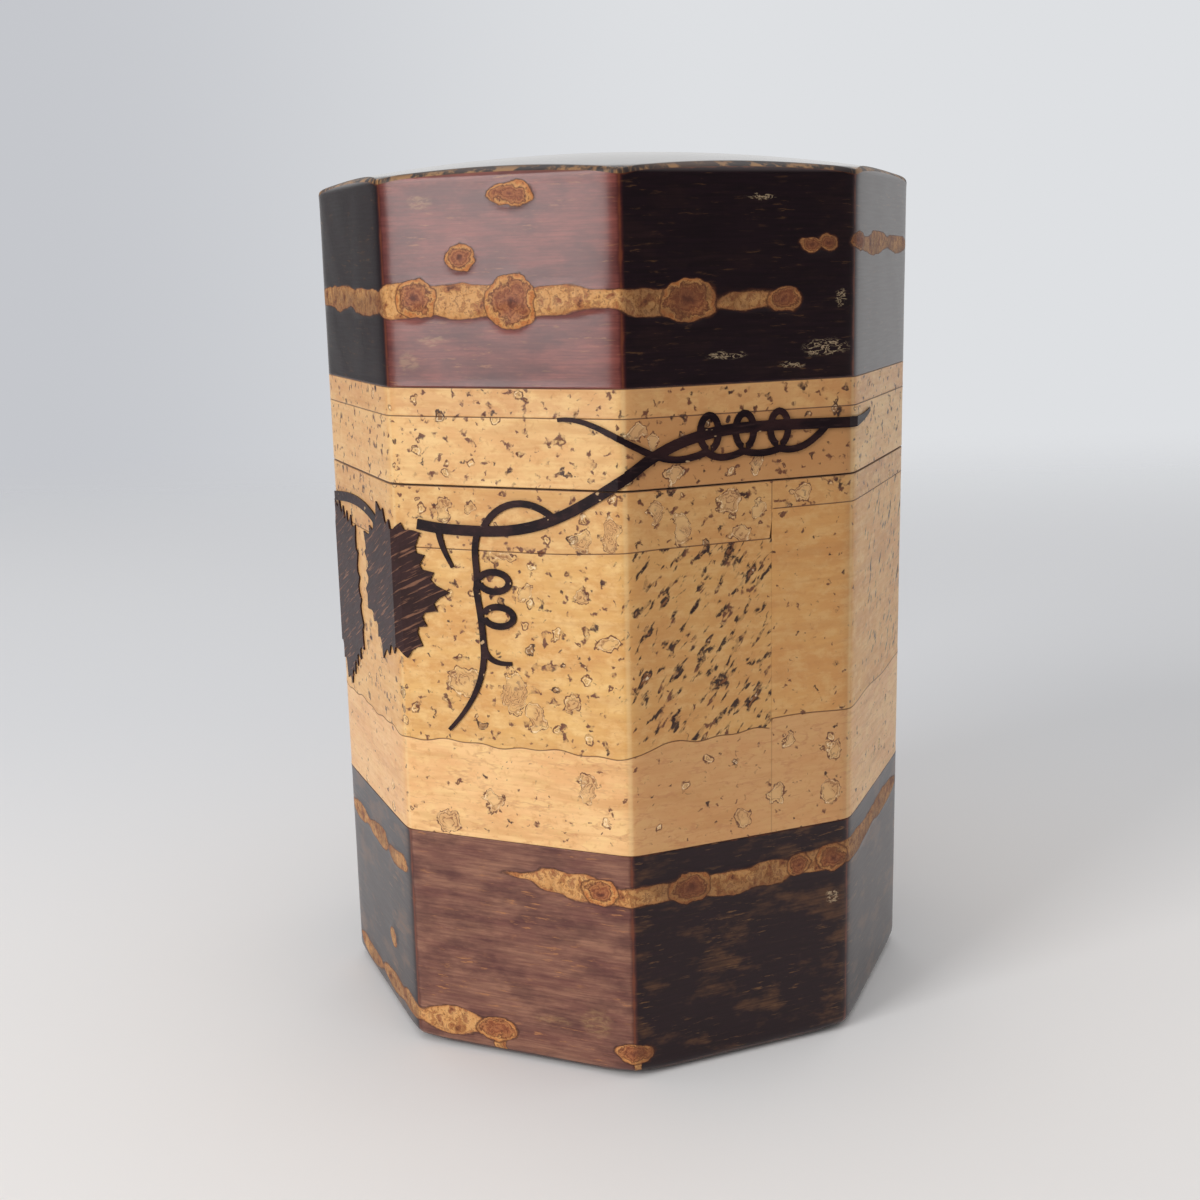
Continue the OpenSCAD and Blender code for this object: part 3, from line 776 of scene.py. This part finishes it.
def pale_bark(name, tone, pits, spots=(), eyes=0.0, shade=0.4, dense_from=None, joint=0.0, marks=0.0):
    """Smoothed corky bark: golden, with pits outlined in brown, some pale inside and some dark, and a
    painted highlight glint inside their rims. Each layer of pits has a scale, the noise level it starts at
    and a
    flag: flagged layers lie dark and slanted past dense_from, where the others thin out. Spots are larger
    pits, some with swirls, eyes the share of small ringed ones, shade the share of painted shade on the
    front right face, which is turned from the key, joint the share of an upright joint line, and marks
    faint reddish lines. The faces from the left arris round to the back get painted shade as well."""
    t = Tree(bpy.data.materials.new(name))
    place, u, _, rim = t.wrap()
    fine, _ = t.noise(place, (0.2, 2.2, 1.0), 5.0, 0.6)
    broad, _ = t.noise(place, (0.07, 0.16, 1.0), 4.0, 0.6)
    cloudy, _ = t.noise(place, (0.35, 0.6, 1.0), 4.0, 0.65)
    broken, _ = t.noise(place, (1.0, 1.0, 1.0), 2.0)
    kind, _ = t.noise(place, (0.3, 0.3, 1.0), 1.0)
    right = t.math("MULTIPLY", t.step(u, -0.8, 0.8), t.step(u, FACE_W - 1.0, FACE_W + 1.0, 1.0, 0.0))
    drawn, _ = t.noise(place, (0.05, 0.4, 1.0), 4.0, 0.6, 0.6)
    deep = (0.9 * tone[0], 0.79 * tone[1], 0.72 * tone[2], 1.0)
    skin = t.mix(t.step(broad, 0.36, 0.64), tone, deep)
    skin = t.mix(t.step(cloudy, 0.42, 0.68, 0.0, 0.6), skin, rgb(244, 204, 138))
    skin = t.mix(t.step(drawn, 0.5, 0.66, 0.0, 0.35), skin, rgb(196, 136, 74))
    skin = t.mix(t.step(fine, 0.42, 0.72, 0.0, 0.15), skin, rgb(188, 128, 76))
    fleck, _ = t.noise(place, (0.9, 1.2, 1.0), 4.0, 0.6, 0.5)
    skin = t.mix(t.step(fleck, 0.54, 0.68, 0.0, 0.4), skin, rgb(204, 142, 80))
    # Painted shade: the front right face, turned from the key, is painted darker by the share shade
    skin = t.mix(t.math("MULTIPLY", right, shade), skin, rgb(192, 134, 82))
    # Painted shade: the faces from the left arris round to the back are painted a quarter darker
    skin = t.mix(t.step(u, -FACE_W - 0.8, -FACE_W + 0.8, 0.25, 0.0), skin, rgb(196, 144, 98))
    if marks:
        wave, _ = t.noise(place, (0.09, 0.3, 1.0), 4.0, 0.6)
        line = t.step(t.math("ABSOLUTE", t.math("SUBTRACT", wave, 0.5)), 0.004, 0.03, marks, 0.0)
        skin = t.mix(t.math("MULTIPLY", line, t.step(cloudy, 0.44, 0.58)), skin, rgb(188, 120, 80))
    relief = t.math("MULTIPLY", fine, 0.2)

    def sink(skin, relief, over, soft, dark):
        """The bark and its relief with pits where over is above 0, filled dark to a share, and a painted
        highlight glint just inside each pit's rim.
        """
        hole = t.step(over, 0.0, soft)
        line = t.step(t.math("ABSOLUTE", over), 0.5 * soft, 1.8 * soft, 1.0, 0.0)
        within = t.math("ABSOLUTE", t.math("SUBTRACT", over, 4.5 * soft))
        line = t.math("MAXIMUM", line, t.step(within, 0.4 * soft, 1.3 * soft, 0.5, 0.0))
        line = t.math("MULTIPLY", line, t.step(broken, 0.4, 0.52, 0.25, 0.95))
        # Painted highlight: a pale glint inside the rim of each pit, on parts of the rim
        inner = t.step(over, 1.4 * soft, 2.0 * soft)
        painted_glint = t.math("MULTIPLY", inner, t.step(over, 2.4 * soft, 3.4 * soft, 1.0, 0.0))
        painted_glint = t.math("MULTIPLY", painted_glint, t.step(broken, 0.44, 0.52, 0.7, 0.0))
        filled = t.math("MULTIPLY", hole, t.step(dark, 0.0, 1.0, 0.35, 0.8))
        skin = t.mix(filled, skin, t.mix(dark, rgb(240, 204, 150), rgb(108, 58, 40)))
        skin = t.mix(line, skin, t.mix(dark, rgb(110, 63, 42), rgb(42, 19, 16)))
        skin = t.mix(painted_glint, skin, rgb(248, 226, 190))
        return skin, t.math("SUBTRACT", relief, t.math("MULTIPLY", hole, 0.5))

    bent = t.moved(place, (0.9, 0.9, 1.0), 1.2)
    if dense_from is not None:
        crowd = t.step(u, dense_from - 3.0, dense_from + 5.0)
        lie = t.node("ShaderNodeMapping", vector_type="TEXTURE")
        t.put(lie.inputs["Vector"], place)
        lie.inputs["Rotation"].default_value = (0, 0, math.radians(SLANT))
        lain = t.moved(t.vector("MULTIPLY", lie.outputs[0], (0.45, 1.2, 1.0)), (0.9, 0.9, 1.0), 0.8)
    for scale, limit, slanted in pits:
        dark = t.step(kind, 0.5, 0.62, 0.0, 0.85)
        if dense_from is not None:
            away = t.math("SUBTRACT", 1.0, crowd) if slanted else t.math("MULTIPLY", crowd, 0.2)
            limit = t.math("ADD", limit, t.math("MULTIPLY", away, 0.3))
        if slanted:
            dark = t.step(kind, 0.36, 0.46)
        field, _ = t.noise(lain if slanted else bent, (scale, scale, 1.0), 2.0, 0.55)
        skin, relief = sink(skin, relief, t.math("SUBTRACT", field, limit), 0.075 * scale, dark)
    if eyes:
        cell = t.cells(t.moved(place, (0.8, 0.8, 1.0), 1.8), (EYE_SCALE, EYE_SCALE, 1.0))
        chosen, size, depth = t.split(cell["Color"])
        reach = t.math("SUBTRACT", t.step(size, 0.0, 1.0, 0.05, 0.18), cell["Distance"])
        reach = t.math("SUBTRACT", reach, t.step(chosen, eyes, eyes + 0.01))
        if dense_from is not None:
            reach = t.math("SUBTRACT", reach, t.math("MULTIPLY", crowd, 0.16))
        over = t.math("MULTIPLY", reach, 1 / EYE_SCALE)
        skin, relief = sink(skin, relief, over, 0.1, t.step(depth, 0.7, 0.8, 0.0, 0.8))
    if spots:
        ragged = t.moved(t.moved(place, (0.45, 0.45, 1.0), 3.6), (1.2, 1.2, 1.0), 1.0)
        over = t.math("MULTIPLY", lenticel_field(t, ragged, spots, 0.1), -1.0)
        skin, relief = sink(skin, relief, over, 0.08, 0.1)
        brown = t.step(kind, 0.44, 0.56)
        wash = t.math("MULTIPLY", t.step(over, 0.0, 0.2, 0.0, 0.4), brown)
        skin = t.mix(wash, skin, rgb(190, 138, 92))
        swirl = t.step(t.math("PINGPONG", over, 0.25), 0.02, 0.11, 0.75, 0.0)
        swirl = t.math("MULTIPLY", swirl, t.math("MULTIPLY", brown, t.step(over, 0.1, 0.3)))
        skin = t.mix(swirl, skin, rgb(128, 78, 54))
    # Worn, paler arrises and the dark lines of the joints
    arris = t.math("PINGPONG", u, FACE_W / 2)
    skin = t.mix(t.step(arris, 0.1, 0.5, 0.3, 0.0), skin, rgb(240, 208, 152))
    joint_tone = rgb(110, 68, 42)
    skin = t.mix(t.step(rim, 0.03, 0.13, 0.65, 0.0), skin, joint_tone)
    if joint:
        off = t.math("ABSOLUTE", t.math("SUBTRACT", u, JOINT_U))
        skin = t.mix(t.step(off, 0.04, 0.13, joint, 0.0), skin, joint_tone)
    t.bump(relief, 0.6, 0.0003)
    matt = t.step(relief, -0.35, -0.05, 1.0, 0.0)
    gloss = t.math("ADD", t.step(fine, 0.3, 0.7, 0.42, 0.56), t.math("MULTIPLY", matt, 0.4))
    return t.finish(Base_Color=skin, Roughness=gloss, Specular_IOR_Level=0.4,
                    Sheen_Weight=0.3, Sheen_Roughness=0.3,
                    Coat_Weight=t.step(matt, 0.0, 1.0, 0.12, 0.0), Coat_Roughness=0.25)


def object_place(t):
    """A piece's own place in millimetres."""
    made = t.node("ShaderNodeTexCoord")
    return t.vector("MULTIPLY", made.outputs["Object"], (1 / MM, 1 / MM, 1 / MM))


def vine_bark(name, base, fleck, slope, grain, amount, chips):
    """Dark laid bark of the vine. Its grain rises to the right at a slope, with the scale along and across
    it in grain, flecks show up to an amount, and chips are pale breaks."""
    t = Tree(bpy.data.materials.new(name))
    x, y, z = t.split(object_place(t))
    along = t.math("SUBTRACT", t.math("MULTIPLY", x, 0.7), t.math("MULTIPLY", y, 0.7))
    across = t.math("SUBTRACT", z, t.math("MULTIPLY", along, slope))
    lain = t.node("ShaderNodeCombineXYZ")
    t.put(lain.inputs[0], along)
    t.put(lain.inputs[1], across)
    fine, _ = t.noise(lain.outputs[0], (grain[0], grain[1], 1.0), 4.0, 0.65)
    broad, _ = t.noise(lain.outputs[0], (0.3, 0.3, 1.0), 3.0)
    colour = t.mix(t.step(broad, 0.42, 0.62, 0.0, 0.6), base, rgb(58, 34, 34))
    colour = t.mix(t.step(fine, 0.54, 0.66, 0.0, amount), colour, fleck)
    chip, _ = t.noise(lain.outputs[0], (0.9, 0.9, 1.0), 2.0)
    colour = t.mix(t.step(chip, 0.69, 0.71, 0.0, chips), colour, rgb(206, 170, 128))
    t.bump(fine, 0.5, 0.0002)
    return t.finish(Base_Color=colour, Roughness=t.step(fine, 0.3, 0.7, 0.5, 0.65), Specular_IOR_Level=0.1,
                    Coat_Weight=0.4, Coat_Roughness=0.25, Coat_IOR=1.3)


def plain_wood(name, light, dark, grain):
    """Planed wood with rings drawn out along the grain."""
    t = Tree(bpy.data.materials.new(name))
    place = t.moved(object_place(t), (0.05, 0.05, 0.02), 4.0)
    rings, _ = t.noise(place, grain, 3.0, 0.5)
    pores, _ = t.noise(place, tuple(4 * g for g in grain), 4.0, 0.7)
    band = t.math("PINGPONG", t.math("MULTIPLY", rings, 7.0), 1.0)
    colour = t.mix(band, light, dark)
    colour = t.mix(t.step(pores, 0.55, 0.7, 0.0, 0.35), colour, dark)
    t.bump(pores, 0.3, 0.0001)
    return t.finish(Base_Color=colour, Roughness=t.step(pores, 0.3, 0.7, 0.45, 0.6), Specular_IOR_Level=0.4)


def plain_bark(name, grain):
    """Dark bark of the hidden faces, with its streaks along the piece's own axes."""
    t = Tree(bpy.data.materials.new(name))
    place = object_place(t)
    fine, _ = t.noise(place, grain, 5.0, 0.65)
    broad, _ = t.noise(place, (0.06, 0.06, 0.1), 3.0)
    colour = t.mix(t.step(fine, 0.3, 0.7), rgb(40, 22, 22), rgb(78, 42, 36))
    colour = t.mix(t.step(broad, 0.45, 0.65, 0.0, 0.5), colour, rgb(104, 60, 42))
    speck, _ = t.noise(place, tuple(0.5 * g for g in grain), 4.0, 0.7)
    colour = t.mix(t.step(speck, 0.6, 0.7, 0.0, 0.6), colour, rgb(158, 106, 62))
    t.bump(fine, 0.3, 0.0001)
    return t.finish(Base_Color=colour, Roughness=t.step(fine, 0.3, 0.7, 0.34, 0.46), Specular_IOR_Level=0.6,
                    Coat_Weight=0.3, Coat_Roughness=0.16)


def top_bark(name):
    """The crowned sheet: dark polished bark with gold flecks, most of them along its worn edge."""
    t = Tree(bpy.data.materials.new(name))
    place, _, _, rim = t.wrap()
    fine, _ = t.noise(place, (0.12, 2.6, 1.0), 5.0, 0.65)
    broad, _ = t.noise(place, (0.06, 0.1, 1.0), 3.0)
    skin = t.mix(t.step(fine, 0.3, 0.7), rgb(24, 14, 14), rgb(46, 27, 24))
    skin = t.mix(t.step(broad, 0.5, 0.64, 0.0, 0.4), skin, rgb(92, 60, 38))
    speck, _ = t.noise(place, (0.25, 1.5, 1.0), 4.0, 0.7)
    skin = t.mix(t.step(speck, 0.6, 0.7, 0.0, 0.4), skin, rgb(160, 116, 68))
    ragged, _ = t.noise(place, (0.4, 0.4, 1.0), 4.0, 0.7)
    corner = t.step(t.vector("LENGTH", place), AP + 1.0, CORNER_R - 0.6)
    worn = t.math("MAXIMUM", t.step(rim, 0.05, 0.45, 1.0, 0.0), corner)
    worn = t.math("MULTIPLY", worn, t.step(ragged, 0.46, 0.58))
    skin = t.mix(t.math("MULTIPLY", worn, 0.8), skin, rgb(168, 122, 74))
    t.bump(fine, 0.2, 0.0001)
    polish = t.math("MULTIPLY", t.step(rim, 0.4, 0.7, 0.05, 1.0), t.step(corner, 0.2, 1.0, 1.0, 0.3))
    return t.finish(Base_Color=skin, Roughness=t.step(rim, 0.3, 0.7, 0.5, 0.22), Specular_IOR_Level=0.5,
                    Coat_Weight=polish, Coat_Roughness=0.1)


def dress(obj, material):
    """Gives a piece or a CAD node one material."""
    obj.data.materials.clear()
    obj.data.materials.append(material)


def build_bark():
    """The sheets of bark on the body and the lid."""
    few = [(0.5, 0.74, False), (0.8, 0.75, False)]
    some = [(0.4, 0.68, False), (0.8, 0.7, False)]
    many = [(0.4, 0.68, False), (0.8, 0.71, False), (0.5, 0.645, True), (0.9, 0.675, True)]
    pitted = few + [(0.5, 0.69, True), (0.9, 0.7, True)]
    # Tones of the front left face: its browner bark with the key's sheen painted in as light
    foot_lit_tones = (rgb(112, 70, 62), rgb(154, 110, 88))
    lid_lit_tones = (rgb(98, 50, 46), rgb(140, 74, 66))

    foot = sheet("bark_foot_band", "body", flat(BASE_T), flat(FOOT_TOP - SEAM_GAP),
                 lenticel_relief(FOOT_STRIPS + FOOT_KNOTS), inset_at=foot_inset)
    dress(foot, dark_bark("foot_bark", FOOT_STRIPS, FOOT_KNOTS, FOOT_LICHENS, streaks=0.8, cloud=0.85,
                          lit_face_tones=foot_lit_tones, coat=0.66, coat_ior=1.3))
    dress(base_sheet(), plain_bark("under_bark", (0.12, 2.0, 2.0)))

    low = sheet("bark_pale_low", "body",
                flat(FOOT_TOP), shifted(low_seam, -SEAM_GAP), no_relief)
    dress(low, pale_bark("pale_low", rgb(244, 196, 136), few, LOW_PITS,
                         eyes=0.2, shade=0.6, joint=0.3, marks=0.4))
    left = sheet("bark_pale_mid_left", "body",
                 low_seam, shifted(high_seam, -SEAM_GAP), no_relief,
                 BACK_JOINT_U - ROUND_W, JOINT_U - SEAM_GAP)
    dress(left, pale_bark("pale_left", rgb(228, 178, 106), many, LEFT_PITS, eyes=0.6, dense_from=-3.0))
    right = sheet("bark_pale_mid_right", "body",
                  low_seam, shifted(high_seam, -SEAM_GAP), no_relief,
                  JOINT_U, BACK_JOINT_U - SEAM_GAP)
    dress(right, pale_bark("pale_right", rgb(232, 177, 104), pitted, eyes=0.06, dense_from=FACE_W + 4.0))
    high = sheet("bark_pale_high", "body", high_seam, flat(BODY_TOP), no_relief)
    dress(high, pale_bark("pale_high", rgb(224, 174, 108), some, HIGH_PITS, eyes=0.3, joint=0.55))

    lid_low = sheet("bark_lid_pale_low", "lid",
                    flat(LID_LOW), flat(LID_SEAM - SEAM_GAP), no_relief)
    dress(lid_low, pale_bark("lid_pale_low", rgb(240, 194, 130), some, LID_PITS, eyes=0.3, shade=0.85))
    thin = sheet("bark_lid_pale_thin", "lid",
                 flat(LID_SEAM), flat(LID_DARK - SEAM_GAP), no_relief)
    dress(thin, pale_bark("lid_pale_thin", rgb(226, 174, 114), some, eyes=0.2))
    band = lid_band(lenticel_relief(LID_STRIPS + LID_KNOTS))
    dress(band, dark_bark("lid_bark", LID_STRIPS, LID_KNOTS, LID_LICHENS, streaks=0.4, cloud=0.06,
                          lit_face_tones=lid_lit_tones, coat=0.6, coat_ior=1.5))
    dress(lid_top(), top_bark("top_bark"))


def dress_nodes():
    """Materials for the CAD nodes that stay."""
    staves = plain_wood("stave_wood", rgb(206, 168, 118), rgb(176, 132, 84), (0.25, 0.25, 0.02))
    slats = plain_wood("slat_wood", rgb(190, 140, 92), rgb(150, 98, 58), (0.3, 0.3, 0.02))
    boards = plain_wood("board_wood", rgb(192, 144, 96), rgb(152, 102, 62), (0.03, 0.3, 0.3))
    sleeve = plain_bark("sleeve_bark", (0.3, 0.3, 3.0))
    facing = plain_bark("facing_bark", (0.12, 2.6, 2.6))
    vine = vine_bark("vine_bark", rgb(27, 13, 18), rgb(84, 60, 58), slope=0.0, grain=(0.8, 2.0),
                     amount=0.25, chips=0.8)
    leaf = vine_bark("leaf_bark", rgb(46, 25, 24), rgb(138, 96, 74), slope=0.5, grain=(0.22, 2.0),
                     amount=0.8, chips=0.0)
    choice = {
        "body_stave": staves, "lid_stave": staves, "base_board": boards, "lid_top_board": boards,
        "sleeve_slat": slats, "inner_lid_board": boards, "inner_lid_knob": slats,
        "sleeve_bark": sleeve, "inner_lid_facing": facing,
        "body_vine": vine, "side_vine": vine, "lid_vine": vine, "body_leaf": leaf, "side_leaf": leaf,
    }
    for name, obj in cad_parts.items():
        for start, material in choice.items():
            if name.startswith(start):
                dress(obj, material)


# Studio: the camera fitted to the photograph, in metres and in points of its image
CAM_BACK = 0.2342
CAM_UP = 0.10731
CAM_PAN = math.radians(0.767)
CAM_TILT = math.radians(12.148)
CAM_ROLL = math.radians(-1.115)
CADDY_YAW = math.radians(1.014)
PHOTO_SIZE = 1200
FOCAL_PX = 1551.0
SENSOR = 36.0

# Key light, in metres and watts
KEY_PLACE = (-0.72, -0.64, 0.39)
KEY_AIM = (0, 0, 0.08)
KEY_SIZE = (0.38, 0.8)
KEY_WATTS = 6.75

# Table top: half its size and how far it lies below the caddy in metres, where it fades in millimetres
TABLE = 3.0
TABLE_DROP = 0.0002
TABLE_BACK = (250.0, 750.0)
TABLE_FRONT = (140.0, 380.0)
TABLE_SIDE = (400.0, 900.0)


def add_camera():
    """Camera where the photograph was taken from."""
    turn = Matrix.Rotation(-CADDY_YAW, 3, "Z")
    look = Matrix.Rotation(CAM_ROLL, 3, "Z") @ Matrix.Rotation(CAM_PAN, 3, "Y")
    look = look @ Matrix.Rotation(CAM_TILT, 3, "X")
    axes = look @ Matrix(((1, 0, 0), (0, 0, -1), (0, 1, 0)))
    right, down, ahead = (turn @ Vector(row) for row in axes)
    data = bpy.data.cameras.new("camera")
    data.sensor_width = SENSOR
    data.sensor_fit = "HORIZONTAL"
    data.lens = FOCAL_PX / PHOTO_SIZE * SENSOR
    data.clip_start = 0.01
    camera = bpy.data.objects.new("camera", data)
    place = Matrix.Translation(turn @ Vector((0, -CAM_BACK, CAM_UP)))
    camera.matrix_world = place @ Matrix((right, -down, -ahead)).transposed().to_4x4()
    bpy.context.collection.objects.link(camera)
    bpy.context.scene.camera = camera


def add_softbox(name, place, aim, size, watts):
    """A rectangular soft light aimed at a point."""
    data = bpy.data.lights.new(name, "AREA")
    data.shape = "RECTANGLE"
    data.size, data.size_y = size
    data.energy = watts
    light = bpy.data.objects.new(name, data)
    light.location = place
    light.rotation_euler = (Vector(aim) - Vector(place)).to_track_quat("-Z", "Y").to_euler()
    bpy.context.collection.objects.link(light)


def add_floor():
    """A pale table top with painted light, brighter to the front and darker behind, that fades into the room
    on all sides.
    """
    t = Tree(bpy.data.materials.new("floor"))
    x, y, _ = t.split(object_place(t))
    # Painted light: the table top is painted brighter to the front and darker behind, as the light falls off
    # with distance
    colour = t.mix(t.step(y, -90.0, 160.0), rgb(236, 234, 233), rgb(218, 219, 222))
    surface = t.finish(Base_Color=colour, Roughness=0.7, Specular_IOR_Level=0.3)
    behind = t.step(y, TABLE_BACK[0], TABLE_BACK[1])
    in_front = t.step(y, -TABLE_FRONT[1], -TABLE_FRONT[0], 1.0, 0.0)
    beside = t.step(t.math("ABSOLUTE", x), TABLE_SIDE[0], TABLE_SIDE[1])
    clear = t.node("ShaderNodeBsdfTransparent")
    fade = t.node("ShaderNodeMixShader")
    t.put(fade.inputs[0], t.math("MAXIMUM", beside, t.math("MAXIMUM", behind, in_front)))
    t.links.new(t.shader.outputs[0], fade.inputs[1])
    t.links.new(clear.outputs[0], fade.inputs[2])
    t.links.new(fade.outputs[0], t.nodes["Material Output"].inputs["Surface"])
    mesh = bpy.data.meshes.new("floor")
    mesh.from_pydata([(-TABLE, -TABLE, 0), (TABLE, -TABLE, 0), (TABLE, TABLE, 0), (-TABLE, TABLE, 0)], [],
                     [(0, 1, 2, 3)])
    floor = bpy.data.objects.new("floor", mesh)
    floor.location.z = -TABLE_DROP
    bpy.context.collection.objects.link(floor)
    dress(floor, surface)


def add_world():
    """Pale room behind the caddy, dim in front and at the back left; the camera sees it pale grey."""
    world = bpy.data.worlds.new("room")
    bpy.context.scene.world = world
    t = Tree(world)
    x, y, z = t.split(t.node("ShaderNodeTexCoord").outputs["Generated"])
    behind = t.math("MULTIPLY", t.step(y, -0.35, 0.55, 0.05, 0.72), t.step(x, -0.62, -0.42, 0.12, 1.0))
    room = t.math("MAXIMUM", behind, t.step(z, 0.15, 0.75, 0.0, 0.9))
    seen = t.mix(t.step(x, -0.35, 0.1), rgb(197, 199, 204), rgb(222, 224, 227))
    path = t.node("ShaderNodeLightPath")
    t.put(t.nodes["Background"].inputs["Color"], t.mix(path.outputs["Is Camera Ray"], room, seen))


def add_studio():
    """Camera, key light from the front left, floor and room."""
    add_camera()
    add_softbox("key", KEY_PLACE, KEY_AIM, KEY_SIZE, KEY_WATTS)
    add_floor()
    add_world()
    bpy.context.scene.view_settings.view_transform = "Standard"


build_bark()
dress_nodes()
add_studio()
